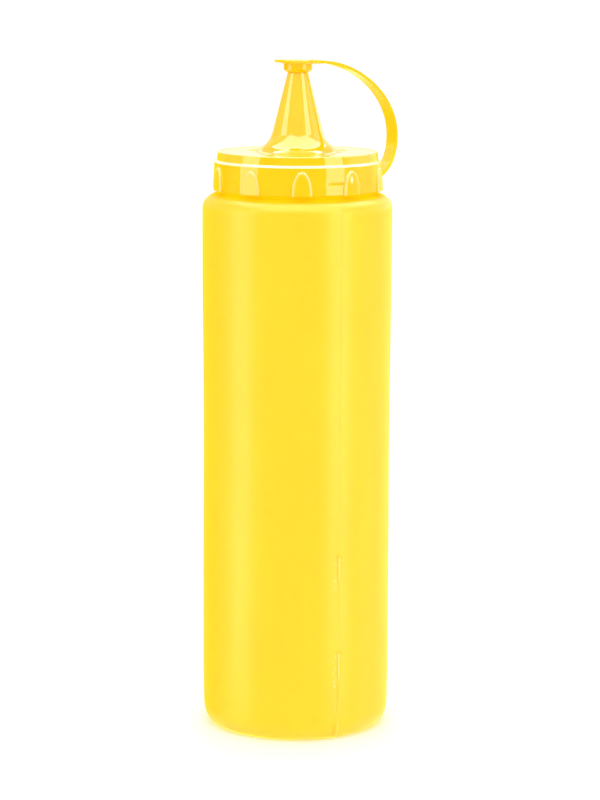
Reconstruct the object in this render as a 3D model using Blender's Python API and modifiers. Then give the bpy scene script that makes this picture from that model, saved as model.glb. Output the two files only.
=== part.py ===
"""A wide-mouth sauce squeeze bottle with its screw lid, in metres with +Z up.

The origin is on the bottle's axis, in the plane that it stands on. +X points
to the side where the strap of the tip cap rises from the lid.
"""

from math import cos, pi, radians, sin, tan

import bmesh
import bpy
from mathutils import Matrix, Vector

MM = 0.001
TURN_STEPS = 80
ARC_STEPS = 8
FINE_MERGE = 0.0001
GAP = 0.3 * MM

# Bottle: a blow-moulded body with a round shoulder, a short neck and a foot ring.
BODY_RADIUS = 35.0 * MM
SHOULDER_RADIUS = 5.5 * MM
SHOULDER_BOTTOM = 195.2 * MM
HEEL_WIDTH = 3.8 * MM
HEEL_HEIGHT = 7.45 * MM
HEEL_TAPER = 0.25 * MM
HEEL_TAPER_TOP = 24.0 * MM
FOOT_INNER_RADIUS = 24.0 * MM
PUSH_UP_RADIUS = 20.0 * MM
PUSH_UP = 1.2 * MM
WELD_LENGTH = 44.0 * MM
WELD_WIDTH = 4.0 * MM
SEAM_ANGLE = radians(-84.0)

# Lid: a turned cap with a stepped top and a tall conical nozzle.
SKIRT_BOTTOM = 202.3 * MM
SKIRT_TOP = 212.6 * MM
SKIRT_BOTTOM_RADIUS = 31.15 * MM
SKIRT_TOP_RADIUS = 30.9 * MM
STEP_FILLET = 1.0 * MM
DISC_TOP = 216.2 * MM
DISC_BOTTOM_RADIUS = 29.9 * MM
DISC_TOP_RADIUS = 29.6 * MM
DISC_EDGE = 0.4 * MM
FLARE_RADIUS = 9.6 * MM
CONE_ANGLE = radians(14.04)
NOZZLE_TIP = 247.8 * MM
NOZZLE_TIP_RADIUS = 3.17 * MM
INNER_TOP = SKIRT_TOP - 1.6 * MM

# Grip pads: arches on the skirt, open at its lower edge. The strap takes the place of one.
PAD_PLACES = 10
PAD_HALF_WIDTH = 3.65 * MM
PAD_ARCH_HEIGHT = 7.8 * MM
PAD_LEG = 1.0 * MM
PAD_BOTTOM_RADIUS = 32.0 * MM
PAD_TOP_RADIUS = 31.45 * MM
PAD_ROOT_RADIUS = 30.3 * MM

# Tip cap and strap.
BAND_THICKNESS = 1.0 * MM
BAND_WIDTH = 8.9 * MM
BAND_HEIGHT = 249.15 * MM
TAB_CENTRE = -4.5 * MM
TAB_THICKNESS = 0.9 * MM
FLANGE_RADIUS = 6.3 * MM
FLANGE_THICKNESS = 1.3 * MM
CAP_RADIUS = 5.25 * MM
CAP_BOTTOM = 246.1 * MM
CAP_LIP_BOTTOM = 245.3 * MM
CAP_LIP_RADIUS = 4.45 * MM
STRAP_CREST = Vector((9.0 * MM, 249.25 * MM))
STRAP_CREST_REACH = Vector((13.2 * MM, 0.9 * MM))
STRAP_SIDE = Vector((37.9 * MM, 221.5 * MM))
STRAP_SIDE_RISE = 15.5 * MM
STRAP_SIDE_DROP = 10.3 * MM
STRAP_ROOT = Vector((30.5 * MM, 205.9 * MM))
STRAP_ROOT_REACH = Vector((2.6 * MM, 1.5 * MM))


def clear_scene():
    for obj in list(bpy.data.objects):
        bpy.data.objects.remove(obj, do_unlink=True)


def new_collection(name):
    collection = bpy.data.collections.new(name)
    bpy.context.scene.collection.children.link(collection)
    return collection


def plastic(name, colour, roughness):
    """A Principled material of one plain plastic."""
    material = bpy.data.materials.new(name)
    material.use_nodes = True
    shader = material.node_tree.nodes["Principled BSDF"]
    shader.inputs["Base Color"].default_value = (*colour, 1.0)
    shader.inputs["Roughness"].default_value = roughness
    shader.inputs["Metallic"].default_value = 0.0
    return material


def arc(centre, size, start, end, steps=ARC_STEPS):
    """Points (radius, height) on an ellipse's arc about centre, from one angle to another."""
    points = []
    for i in range(steps + 1):
        angle = start + (end - start) * i / steps
        points.append((centre[0] + size[0] * cos(angle), centre[1] + size[1] * sin(angle)))
    return points


def turned(name, collection, profile, steps=TURN_STEPS):
    """A solid of revolution about Z. The profile runs (radius, height) from the axis down its outer side."""
    mesh = bpy.data.meshes.new(name)
    points = [(radius, 0.0, height) for radius, height in profile]
    edges = [(i, i + 1) for i in range(len(points) - 1)]
    mesh.from_pydata(points, edges, [])
    obj = bpy.data.objects.new(name, mesh)
    collection.objects.link(obj)
    screw = obj.modifiers.new("Turn", "SCREW")
    screw.steps = steps
    screw.render_steps = steps
    screw.use_merge_vertices = True
    screw.merge_threshold = FINE_MERGE * 0.1
    return obj


def as_helper(obj):
    obj.hide_render = True
    obj.display_type = "WIRE"
    return obj


def combine(obj, other, operation):
    boolean = obj.modifiers.new(f"{operation.title()} {other.name}", "BOOLEAN")
    boolean.operation = operation
    boolean.solver = "EXACT"
    boolean.object = other
    return boolean


def box(name, collection, size, centre, turn):
    """A box turned about Z."""
    mesh = bpy.data.meshes.new(name)
    shape = bmesh.new()
    bmesh.ops.create_cube(shape, size=1.0)
    bmesh.ops.scale(shape, vec=size, verts=shape.verts)
    bmesh.ops.translate(shape, vec=centre, verts=shape.verts)
    bmesh.ops.rotate(shape, cent=(0, 0, 0), matrix=Matrix.Rotation(turn, 3, "Z"), verts=shape.verts)
    shape.to_mesh(mesh)
    shape.free()
    obj = bpy.data.objects.new(name, mesh)
    collection.objects.link(obj)
    return obj


def meshed(curve_object, collection):
    """A curve object made a mesh, with its caps welded, in place of the curve."""
    bpy.context.view_layer.update()
    graph = bpy.context.evaluated_depsgraph_get()
    name = curve_object.name
    mesh = bpy.data.meshes.new_from_object(curve_object.evaluated_get(graph))
    shape = bmesh.new()
    shape.from_mesh(mesh)
    bmesh.ops.remove_doubles(shape, verts=shape.verts, dist=FINE_MERGE * 0.1)
    shape.to_mesh(mesh)
    shape.free()
    obj = bpy.data.objects.new(name + "_mesh", mesh)
    obj.matrix_world = curve_object.matrix_world.copy()
    collection.objects.link(obj)
    bpy.data.objects.remove(curve_object, do_unlink=True)
    return obj


def smooth(obj):
    obj.data.shade_smooth()
    obj.data.set_sharp_from_angle(angle=radians(35))


def heel_profile():
    """From the straight side down the slightly drawn-in foot of the wall and round the heel."""
    side = BODY_RADIUS - HEEL_TAPER
    points = [(BODY_RADIUS, HEEL_TAPER_TOP), (side + 0.3 * HEEL_TAPER, 0.5 * (HEEL_TAPER_TOP + HEEL_HEIGHT))]
    centre = (side - HEEL_WIDTH, HEEL_HEIGHT)
    return points + arc(centre, (HEEL_WIDTH, HEEL_HEIGHT), 0.0, -pi / 2)


def make_bottle(collection, helpers):
    """The body: neck, shoulder, side, heel, foot ring and the push-up inside it, with the weld of the moulding across."""
    neck_radius = BODY_RADIUS - SHOULDER_RADIUS
    neck_top = INNER_TOP - GAP
    profile = [(0.0, neck_top), (neck_radius, neck_top)]
    profile += arc((neck_radius, SHOULDER_BOTTOM), (SHOULDER_RADIUS, SHOULDER_RADIUS), pi / 2, 0.0)
    profile += heel_profile()
    profile += [(FOOT_INNER_RADIUS, 0.0), (PUSH_UP_RADIUS, PUSH_UP), (0.0, PUSH_UP)]
    bottle = turned("bottle", collection, profile)
    depth = 2.0 * PUSH_UP
    weld = box("base_weld", helpers, (WELD_LENGTH, WELD_WIDTH, depth), (0.0, 0.0, depth / 2), SEAM_ANGLE)
    combine(bottle, as_helper(weld), "UNION")
    return bottle


def cone_radius(height):
    return NOZZLE_TIP_RADIUS + (NOZZLE_TIP - height) * tan(CONE_ANGLE)


def lid_profile():
    """The nozzle's tip, its cone and flare, the stepped top, the skirt and the hollow that takes the neck."""
    inner_radius = BODY_RADIUS - SHOULDER_RADIUS + GAP
    cone_end = DISC_TOP + FLARE_RADIUS * (1.0 - sin(CONE_ANGLE))
    flare_centre = (cone_radius(cone_end) + FLARE_RADIUS * cos(CONE_ANGLE), DISC_TOP + FLARE_RADIUS)
    profile = [(0.0, NOZZLE_TIP), (NOZZLE_TIP_RADIUS, NOZZLE_TIP)]
    profile += arc(flare_centre, (FLARE_RADIUS, FLARE_RADIUS), pi + CONE_ANGLE, 1.5 * pi)
    edge_centre = (DISC_TOP_RADIUS - DISC_EDGE, DISC_TOP - DISC_EDGE)
    profile += arc(edge_centre, (DISC_EDGE, DISC_EDGE), pi / 2, 0.0, 2)
    step_centre = (DISC_BOTTOM_RADIUS + STEP_FILLET, SKIRT_TOP + STEP_FILLET)
    profile += arc(step_centre, (STEP_FILLET, STEP_FILLET), pi, 1.5 * pi, 3)
    profile += [(SKIRT_BOTTOM_RADIUS, SKIRT_BOTTOM), (inner_radius, SKIRT_BOTTOM)]
    profile += [(inner_radius, INNER_TOP), (0.0, INNER_TOP)]
    return profile


def arch_outline():
    """A half ellipse on two short straight legs, as (across, up) points."""
    top = [(x, y + PAD_LEG) for x, y in arc((0.0, 0.0), (PAD_HALF_WIDTH, PAD_ARCH_HEIGHT), 0.0, pi, 12)]
    return [(-PAD_HALF_WIDTH, 0.0), (PAD_HALF_WIDTH, 0.0)] + top


def make_pads(helpers):
    """The grip pads: arches standing round the skirt, cut back to one slightly flared cone."""
    shape = bmesh.new()
    reach = PAD_BOTTOM_RADIUS + 2.0 * MM
    for place in range(1, PAD_PLACES):
        angle = 2.0 * pi * place / PAD_PLACES
        turn = Matrix.Rotation(angle, 4, "Z")
        near = []
        for across, up in arch_outline():
            near.append(shape.verts.new(turn @ Vector((PAD_ROOT_RADIUS, across, SKIRT_BOTTOM + up))))
        base = shape.faces.new(near)
        grown = bmesh.ops.extrude_face_region(shape, geom=[base])["geom"]
        moved = [item for item in grown if isinstance(item, bmesh.types.BMVert)]
        outward = turn @ Vector((reach - PAD_ROOT_RADIUS, 0.0, 0.0))
        bmesh.ops.translate(shape, vec=outward, verts=moved)
    bmesh.ops.recalc_face_normals(shape, faces=shape.faces)
    mesh = bpy.data.meshes.new("pads")
    shape.to_mesh(mesh)
    shape.free()
    pads = bpy.data.objects.new("pads", mesh)
    helpers.objects.link(pads)
    limit = turned(
        "pad_limit",
        helpers,
        [
            (0.0, SKIRT_TOP),
            (PAD_TOP_RADIUS, SKIRT_TOP),
            (PAD_BOTTOM_RADIUS, SKIRT_BOTTOM - MM),
            (0.0, SKIRT_BOTTOM - MM),
        ],
    )
    combine(pads, as_helper(limit), "INTERSECT")
    return as_helper(pads)


def add_spline_point(point, place, handle_in, handle_out):
    point.co = (*place, 0.0)
    point.handle_left_type = "FREE"
    point.handle_right_type = "FREE"
    point.handle_left = (*handle_in, 0.0)
    point.handle_right = (*handle_out, 0.0)


def make_strap(helpers):
    """The strap: a ribbon on one smooth route in the XZ plane, over the cap, out and down to the skirt."""
    curve = bpy.data.curves.new("strap", "CURVE")
    curve.dimensions = "2D"
    curve.fill_mode = "NONE"
    curve.resolution_u = 14
    curve.extrude = BAND_WIDTH / 2
    spline = curve.splines.new("BEZIER")
    spline.bezier_points.add(4)
    points = spline.bezier_points
    tab = Vector((TAB_CENTRE, BAND_HEIGHT))
    middle = Vector((0.0, BAND_HEIGHT))
    third = Vector((1.5 * MM, 0.0))
    crest_in = STRAP_CREST - STRAP_CREST_REACH * 0.25
    add_spline_point(points[0], tab, tab - third, tab + third)
    add_spline_point(points[1], middle, middle - third, middle + third * 2)
    add_spline_point(points[2], STRAP_CREST, crest_in, STRAP_CREST + STRAP_CREST_REACH)
    above = STRAP_SIDE + Vector((0.0, STRAP_SIDE_RISE))
    below = STRAP_SIDE - Vector((0.0, STRAP_SIDE_DROP))
    add_spline_point(points[3], STRAP_SIDE, above, below)
    add_spline_point(points[4], STRAP_ROOT, STRAP_ROOT + STRAP_ROOT_REACH, STRAP_ROOT)
    ribbon = bpy.data.objects.new("strap", curve)
    ribbon.rotation_euler = (pi / 2, 0.0, 0.0)
    helpers.objects.link(ribbon)
    strap = meshed(ribbon, helpers)
    wall = strap.modifiers.new("Thickness", "SOLIDIFY")
    wall.thickness = BAND_THICKNESS
    wall.offset = 0.0
    wall.use_even_offset = True
    return as_helper(strap)


def make_tab(helpers):
    """The round end of the strap, past the cap."""
    half = TAB_THICKNESS / 2
    radius = BAND_WIDTH / 2
    profile = [(0.0, BAND_HEIGHT + half), (radius, BAND_HEIGHT + half)]
    profile += [(radius, BAND_HEIGHT - half), (0.0, BAND_HEIGHT - half)]
    tab = turned("tab", helpers, profile, 32)
    tab.location.x = TAB_CENTRE
    return as_helper(tab)


def make_tip_cap(helpers):
    """The cap over the nozzle's tip: a round flange and a short cup, hollow to the nozzle's taper."""
    half = FLANGE_THICKNESS / 2
    inner_bottom = cone_radius(CAP_LIP_BOTTOM) + GAP
    inner_top = cone_radius(NOZZLE_TIP) + GAP
    profile = [
        (0.0, BAND_HEIGHT + half),
        (FLANGE_RADIUS, BAND_HEIGHT + half),
        (FLANGE_RADIUS, BAND_HEIGHT - half),
        (CAP_RADIUS, BAND_HEIGHT - half),
        (CAP_RADIUS, CAP_BOTTOM),
        (CAP_LIP_RADIUS, CAP_LIP_BOTTOM),
        (inner_bottom, CAP_LIP_BOTTOM),
        (inner_top, NOZZLE_TIP + GAP),
        (0.0, NOZZLE_TIP + GAP),
    ]
    return as_helper(turned("tip_cap", helpers, profile, 40))


def make_lid(collection, helpers):
    lid = turned("lid", collection, lid_profile())
    combine(lid, make_pads(helpers), "UNION")
    strap = make_strap(helpers)
    cap = make_tip_cap(helpers)
    combine(cap, make_tab(helpers), "UNION")
    combine(cap, strap, "UNION")
    combine(lid, cap, "UNION")
    return lid


def main():
    clear_scene()
    collection = new_collection("sauce squeeze bottle")
    helpers = new_collection("cutters and helpers")
    bottle = make_bottle(collection, helpers)
    lid = make_lid(collection, helpers)
    bottle.data.materials.append(plastic("bottle plastic", (1.0, 0.74, 0.03), 0.42))
    lid.data.materials.append(plastic("lid plastic", (1.0, 0.60, 0.01), 0.16))
    for obj in collection.objects:
        smooth(obj)


main()
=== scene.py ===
"""The looks of a yellow sauce squeeze bottle: its blow-moulded body and its glossy moulded lid.

Lengths in the shapes below are in millimetres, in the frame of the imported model: +Z up, the origin
on the bottle's axis at its base, and +X towards the strap of the tip cap.
"""

from math import cos, pi, radians, sin, tan

import bmesh
import bpy
import numpy as np
from mathutils import Matrix, Vector


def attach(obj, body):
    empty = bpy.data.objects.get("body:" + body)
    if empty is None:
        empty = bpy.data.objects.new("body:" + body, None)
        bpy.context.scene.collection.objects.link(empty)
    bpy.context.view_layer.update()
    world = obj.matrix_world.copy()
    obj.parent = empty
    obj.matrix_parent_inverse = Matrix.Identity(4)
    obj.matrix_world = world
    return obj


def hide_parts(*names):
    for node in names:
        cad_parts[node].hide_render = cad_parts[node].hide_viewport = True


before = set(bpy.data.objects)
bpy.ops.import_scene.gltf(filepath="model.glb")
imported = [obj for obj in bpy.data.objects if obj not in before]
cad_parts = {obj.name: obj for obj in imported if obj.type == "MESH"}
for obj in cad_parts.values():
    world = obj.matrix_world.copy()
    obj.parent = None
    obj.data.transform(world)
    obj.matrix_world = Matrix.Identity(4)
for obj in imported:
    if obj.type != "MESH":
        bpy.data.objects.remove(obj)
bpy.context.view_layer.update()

# The bottle's body is one blow-moulded piece of soft, satin polyethylene: a short neck, a round
# shoulder, a straight side, a deep heel and a pushed-up base. The two halves of the mould leave a
# fine seam down each side, with scraped arrow-like marks on it and a trimmed weld under the base.

MM = 0.001
SMOOTH_BELOW = radians(38.0)
BODY_RADIUS = 35.0
SIDE_FULLER = 0.20
TOP_SWELL, TOP_SWELL_AT, TOP_SWELL_REACH = 0.08, 175.0, 25.0
WAIST, WAIST_AT, WAIST_REACH = 0.25, 112.0, 42.0
SHOULDER_RADIUS = 5.5
SHOULDER_BOTTOM = 195.2
SHOULDER_START = 0.47 * pi
NECK_TOP = 210.7
NECK_RADIUS = BODY_RADIUS - SHOULDER_RADIUS
NECK_EDGE = 0.6
NECK_FILLET = 0.5
NECK_FILLET_END = 1.4 * pi
HEEL_WIDTH = 3.8
HEEL_HEIGHT = 7.45
HEEL_TAPER = 0.25
HEEL_TAPER_TOP = 24.0
HEEL_TAPER_POWER = 1.4
HEEL_LIFT = 0.40
HEEL_LIFT_TOP = 6.0
HEEL_LIFT_EDGE = (-0.15, 0.35)
HEEL_LIFT_REACH = 26.0
HEEL_BULGE_AT, HEEL_BULGE_REACH = -11.5, 6.5
FOOT_INNER_RADIUS = 24.0
PUSH_UP_RADIUS = 20.0
PUSH_UP = 1.2
WELD_HALF = 2.0
WELD_EDGE = (WELD_HALF - 0.3, WELD_HALF + 0.5)
PINCH_HEIGHT, PINCH_WIDTH = 0.18, 0.25
PINCH_END = (21.0, 22.5)
SEAM_ANGLE = radians(-84.0)
SEAM_WIDTH = 0.17
SEAM_HEIGHT = 0.07
# The seam's bead is painted paler, as painted highlight.
SEAM_PALE = 0.28
SEAM_FOOT, SEAM_TOP = (0.4, 1.2), (200.4, 200.7)
TAIL_HEIGHT = 0.24
TAIL_FOOT, TAIL_TOP = (-0.2, 0.3), (3.0, 9.0)
CREASE_DEPTH = 0.06
CREASE_FOOT, CREASE_TOP = (9.0, 12.0), (19.0, 23.0)
FAN_HEIGHT = 0.03
FAN_FOOT, FAN_TOP = (7.0, 12.0), (22.0, 27.0)
FAN_FROM = 14.0
FAN_LINES = ((0.7, 0.13), (-1.5, -0.02))
TAIL_RIDGE = (-0.1, 0.28)
# The tail's ridge is painted paler and the strip left of it deeper, the drawn lines paler and the crease
# deeper: painted highlight and painted shade.
TAIL_LIGHT, TAIL_SHADE = (0.1, 0.3), (-1.4, 0.8)
TAIL_PALE, TAIL_DEEP, CREASE_DEEP, FAN_PALE = 0.75, 0.7, 0.8, 0.35
CREASE_AT = -0.5
FINE_TOP = 76.0
FINE_STEP = 0.5
MARKS = ((70.6, 60.2), (34.2, 22.8))
ARM_REACH = 1.3
ARM_DROP = 1.35
ARM_WIDTH = 0.34
ARM_FADE = 0.4
ARM_DEPTH = 0.20
CREST_AT, CREST_HEIGHT = -0.05, 0.10
GROOVE_AT, GROOVE_DEPTH = -0.55, 0.12
SCRATCH_WIDTH = 0.2
CRUMBS = 24
CRUMB_ACROSS = (-2.3, -1.1)
CRUMB_SIZE = (0.14, 0.28)
CRUMB_STRETCH = 1.7
CRUMB_HEIGHT = 0.09
CRUMB_RISES = (-0.5, 1.0)
CRUMB_SHADES = (-0.9, 1.0)
# The crest and raised crumbs are painted paler, as painted highlight; the sunken arms, groove and crumbs
# deeper, as painted shade.
CREST_PALE, CRUMB_PALE, GROOVE_DEEP = 0.9, 0.9, 0.8


def arc(centre, size, start, end, steps):
    """Points (radius, height) on an ellipse: centre + size * (cos, sin) of an even run of angles."""
    angle = np.linspace(start, end, steps + 1)
    return np.column_stack((centre[0] + size[0] * np.cos(angle), centre[1] + size[1] * np.sin(angle)))


def run(start, end, steps):
    """Evenly spaced points (radius, height) on a straight line."""
    share = np.linspace(0.0, 1.0, steps + 1)[:, None]
    return (1.0 - share) * np.array(start) + share * np.array(end)


def profile(*parts):
    """Runs of points one after the other, without the point that two of them share."""
    points = np.vstack(parts)
    apart = np.linalg.norm(np.diff(points, axis=0), axis=1) > 1e-6
    return points[np.concatenate(([True], apart))]


def outward(points):
    """Unit normals of a line of points: its tangent (a, b) turned to (-b, a)."""
    tangent = np.gradient(points, axis=0)
    tangent /= np.linalg.norm(tangent, axis=1)[:, None]
    return np.column_stack((-tangent[:, 1], tangent[:, 0]))


def smooth_step(low, high, value):
    """0 below low, 1 above high and 3t^2 - 2t^3 between them."""
    share = np.clip((value - low) / (high - low), 0.0, 1.0)
    return share * share * (3.0 - 2.0 * share)


def between(value, rise, fall):
    """1 between two places and 0 outside them: a smooth step up over the rise and down over the fall."""
    return smooth_step(*rise, value) * (1.0 - smooth_step(*fall, value))


def bump(value, centre, width):
    """A bell curve: exp of minus the square of the distance from the centre, in widths."""
    return np.exp(-(((value - centre) / width) ** 2))


def new_piece(name, points, faces, sharp=SMOOTH_BELOW):
    """A mesh object from points in millimetres, smooth apart from its sharp edges."""
    mesh = bpy.data.meshes.new(name)
    mesh.from_pydata((points * MM).tolist(), [], faces)
    mesh.shade_smooth()
    mesh.set_sharp_from_angle(angle=sharp)
    piece = bpy.data.objects.new(name, mesh)
    bpy.context.scene.collection.objects.link(piece)
    return piece


def grid_faces(rows, columns, closed):
    """Quads between the points of a grid, numbered row by row. A closed grid joins its last column to its
    first."""
    across = columns if closed else columns - 1
    row, column = np.meshgrid(np.arange(rows - 1), np.arange(across), indexing="ij")
    row, column = row.ravel(), column.ravel()
    after = (column + 1) % columns
    here = row * columns
    below = here + columns
    return np.column_stack((here + column, below + column, below + after, here + after))


def turned_piece(name, radius, height, angles):
    """A closed surface round Z: the point in row i and column j is (radius cos angle, radius sin angle,
    height), where radius and height may change from column to column. The first and last rows are single
    points."""
    angles = np.broadcast_to(angles, radius.shape)
    x, y = radius * np.cos(angles), radius * np.sin(angles)
    rings = np.stack((x, y, height), axis=-1)[1:-1]
    rows, columns = rings.shape[:2]
    top, bottom = rows * columns, rows * columns + 1
    poles = np.array([[0.0, 0.0, height[0].mean()], [0.0, 0.0, height[-1].mean()]])
    points = np.vstack((rings.reshape(-1, 3), poles))
    column = np.arange(columns)
    after = (column + 1) % columns
    last = (rows - 1) * columns
    faces = grid_faces(rows, columns, True).tolist()
    faces += np.column_stack((np.full(columns, top), column, after)).tolist()
    faces += np.column_stack((last + column, np.full(columns, bottom), last + after)).tolist()
    return new_piece(name, points, faces)


def mark_points(piece, name, values):
    """Gives each point of a piece a number, which its material reads by this name."""
    marks = piece.data.attributes.new(name, "FLOAT", "POINT")
    marks.data.foreach_set("value", np.asarray(values, dtype=np.float32))


def mark_rings(piece, name, values):
    """The same for a turned piece, from the values of its rows and columns. Its two end points get 0."""
    mark_points(piece, name, np.concatenate((values[1:-1].ravel(), (0.0, 0.0))))


def wall_radius(height):
    """The side: 35 mm and a trace fuller, with a slight swell near the top and a slight waist at
    mid-height, less a taper above the heel that grows as a power of the way down."""
    swell = SIDE_FULLER + TOP_SWELL * bump(height, TOP_SWELL_AT, TOP_SWELL_REACH)
    swell = swell - WAIST * bump(height, WAIST_AT, WAIST_REACH)
    way_down = np.clip((HEEL_TAPER_TOP - height) / (HEEL_TAPER_TOP - HEEL_HEIGHT), 0.0, 1.0)
    return BODY_RADIUS + swell - HEEL_TAPER * way_down**HEEL_TAPER_POWER


def body_profile():
    """From the top of the neck, over the shoulder, down the side and round the heel to the middle of the
    base."""
    neck_foot = SHOULDER_BOTTOM + SHOULDER_RADIUS
    fillet_centre = (NECK_RADIUS + NECK_FILLET, neck_foot + NECK_FILLET)
    neck = profile(
        run((0.0, NECK_TOP), (NECK_RADIUS - NECK_EDGE, NECK_TOP), 3),
        arc((NECK_RADIUS - NECK_EDGE, NECK_TOP - NECK_EDGE), (NECK_EDGE, NECK_EDGE), pi / 2, 0.0, 4),
        run((NECK_RADIUS, NECK_TOP - NECK_EDGE), (NECK_RADIUS, neck_foot + NECK_FILLET), 5),
        arc(fillet_centre, (NECK_FILLET, NECK_FILLET), pi, NECK_FILLET_END, 4),
    )
    shoulder_width = float(wall_radius(np.array(SHOULDER_BOTTOM))) - NECK_RADIUS
    shoulder_size = (shoulder_width, SHOULDER_RADIUS)
    shoulder = arc((NECK_RADIUS, SHOULDER_BOTTOM), shoulder_size, SHOULDER_START, 0.0, 24)
    upper = np.linspace(SHOULDER_BOTTOM, FINE_TOP, 37)
    heights = np.concatenate((upper, np.arange(FINE_TOP, HEEL_HEIGHT, -FINE_STEP)))
    side = np.column_stack((wall_radius(heights), heights))
    heel_inner = float(wall_radius(np.array(HEEL_HEIGHT))) - HEEL_WIDTH
    heel = arc((heel_inner, HEEL_HEIGHT), (HEEL_WIDTH, HEEL_HEIGHT), 0.0, -pi / 2, 26)
    share = np.linspace(0.0, 1.0, 13)
    rise_radius = FOOT_INNER_RADIUS + (PUSH_UP_RADIUS - FOOT_INNER_RADIUS) * share
    rise = np.column_stack((rise_radius, PUSH_UP * smooth_step(0.0, 1.0, share)))
    foot = run((heel_inner, 0.0), (FOOT_INNER_RADIUS, 0.0), 5)
    middle = run((PUSH_UP_RADIUS, PUSH_UP), (0.0, PUSH_UP), 14)
    return profile(neck, shoulder, side, heel, foot, rise, middle)


def seam_columns():
    """Angles round the axis in degrees: 0.2 apart next to a seam, 0.5 apart a little further off, and
    about 2 apart between the seams."""
    near, further = np.arange(0.0, 2.5, 0.2), np.arange(2.8, 6.0, 0.5)
    quarter = np.concatenate((near, further, np.linspace(6.4, 90.0, 40)))
    half = np.concatenate((quarter, 180.0 - quarter[-2:0:-1]))
    return np.radians(np.concatenate((half, half + 180.0))) + SEAM_ANGLE


def scraped_mark(across, height, top, end):
    """Relief and painted light of one mark left by scraping: two short arms that slope down from the seam
    like an arrow's, a thicker seam below them with a crest that scraping left, a groove on its left, and
    crumbs of plastic further left. The crest and the raised crumbs are painted paler, as painted
    highlight, and the sunken arms, groove and crumbs are painted deeper, as painted shade."""
    arm_line = top - ARM_DROP * np.abs(across) / ARM_REACH
    arms = bump(height, arm_line, ARM_WIDTH)
    arms = arms * (1.0 - smooth_step(ARM_REACH, ARM_REACH + ARM_FADE, np.abs(across)))
    length = between(height, (end - 1.0, end + 3.0), (top - 1.6, top - 0.6))
    crest = bump(across, CREST_AT, SCRATCH_WIDTH) * length
    groove = bump(across, GROOVE_AT, SCRATCH_WIDTH) * length
    crumbs = np.zeros_like(across)
    chance = np.random.default_rng(int(top * 10))
    for _ in range(CRUMBS):
        crumb_across = chance.uniform(*CRUMB_ACROSS)
        crumb_height = chance.uniform(end - 3.0, top - 1.5)
        size = chance.uniform(*CRUMB_SIZE)
        crumb = bump(across, crumb_across, size) * bump(height, crumb_height, size * CRUMB_STRETCH)
        crumbs += chance.choice(CRUMB_RISES) * crumb
    relief = -ARM_DEPTH * arms + CREST_HEIGHT * crest - GROOVE_DEPTH * groove + CRUMB_HEIGHT * crumbs
    pale = CREST_PALE * crest + CRUMB_PALE * np.clip(crumbs, *CRUMB_SHADES) - arms - GROOVE_DEEP * groove
    return relief, pale


def seam_relief(across, height):
    """Relief and painted light of one seam, from the distance across it and the height: a fine bead, two
    marks left by scraping, a crease and two drawn lines near the heel, and a tail that grows towards the
    base. The bead, the drawn lines and the tail's ridge are painted paler, as painted highlight; the
    crease and the strip left of the ridge are painted deeper, as painted shade."""
    bead = bump(across, 0.0, SEAM_WIDTH) * between(height, SEAM_FOOT, SEAM_TOP)
    relief = SEAM_HEIGHT * bead
    pale = SEAM_PALE * bead
    for top, end in MARKS:
        mark_relief, mark_pale = scraped_mark(across, height, top, end)
        relief = relief + mark_relief
        pale = pale + mark_pale
    tail = between(height, TAIL_FOOT, TAIL_TOP)
    crease = bump(across, CREASE_AT, SCRATCH_WIDTH) * between(height, CREASE_FOOT, CREASE_TOP)
    fan = np.zeros_like(across)
    for place, lean in FAN_LINES:
        fan += bump(across, place + lean * (height - FAN_FROM), SCRATCH_WIDTH)
    fan *= between(height, FAN_FOOT, FAN_TOP)
    relief = relief + TAIL_HEIGHT * tail * bump(across, *TAIL_RIDGE) - CREASE_DEPTH * crease
    relief = relief + FAN_HEIGHT * fan
    pale = pale + TAIL_PALE * tail * bump(across, *TAIL_LIGHT) - TAIL_DEEP * tail * bump(across, *TAIL_SHADE)
    pale = pale - CREASE_DEEP * crease + FAN_PALE * fan
    return relief, pale


def make_bottle_body():
    """The profile turned round the axis, moved along its normal by the seams' relief. Beside each seam
    the heel is lifted a trace, and a weld with a pinched line crosses the base from seam to seam."""
    points = body_profile()
    normal = outward(points)
    angles = seam_columns()
    radius = points[:, :1] + np.zeros((1, len(angles)))
    height = points[:, 1:] + np.zeros((1, len(angles)))
    outside = np.arange(len(points))[:, None] <= np.argmin(points[:, 1])
    relief = np.zeros_like(radius)
    pale = np.zeros_like(radius)
    for seam in (SEAM_ANGLE, SEAM_ANGLE + pi):
        turn = (angles - seam + pi) % (2.0 * pi) - pi
        here = outside & (np.abs(turn) < pi / 2)
        across = BODY_RADIUS * turn[None, :] + 0.0 * height
        seam_rise, seam_pale = seam_relief(across, height)
        relief += np.where(here, seam_rise, 0.0)
        pale += np.where(here, seam_pale, 0.0)
        lift = smooth_step(*HEEL_LIFT_EDGE, across) * np.exp(-np.clip(across, 0.0, None) / HEEL_LIFT_REACH)
        lift += bump(across, HEEL_BULGE_AT, HEEL_BULGE_REACH)
        low = 1.0 - smooth_step(0.0, HEEL_LIFT_TOP, height)
        height += np.where(here, HEEL_LIFT * lift * low, 0.0)
    radius = radius + normal[:, :1] * relief
    height = height + normal[:, 1:] * relief
    along_weld = np.abs(radius * np.cos(angles - SEAM_ANGLE))
    from_weld = np.abs(radius * np.sin(angles - SEAM_ANGLE))
    bar = 1.0 - smooth_step(*WELD_EDGE, from_weld)
    pinch = PINCH_HEIGHT * bump(from_weld, 0.0, PINCH_WIDTH) * (1.0 - smooth_step(*PINCH_END, along_weld))
    under = ~outside & (height < PUSH_UP + 0.01)
    welded = np.maximum(height * (1.0 - bar), 0.0) + pinch * bar
    height = np.where(under, welded, np.maximum(height, 0.0))
    piece = turned_piece("bottle_body", radius, height, angles)
    # Painted highlight and painted shade along the seams, read by the material.
    mark_rings(piece, "seam_painted_light", pale)
    return piece


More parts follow.
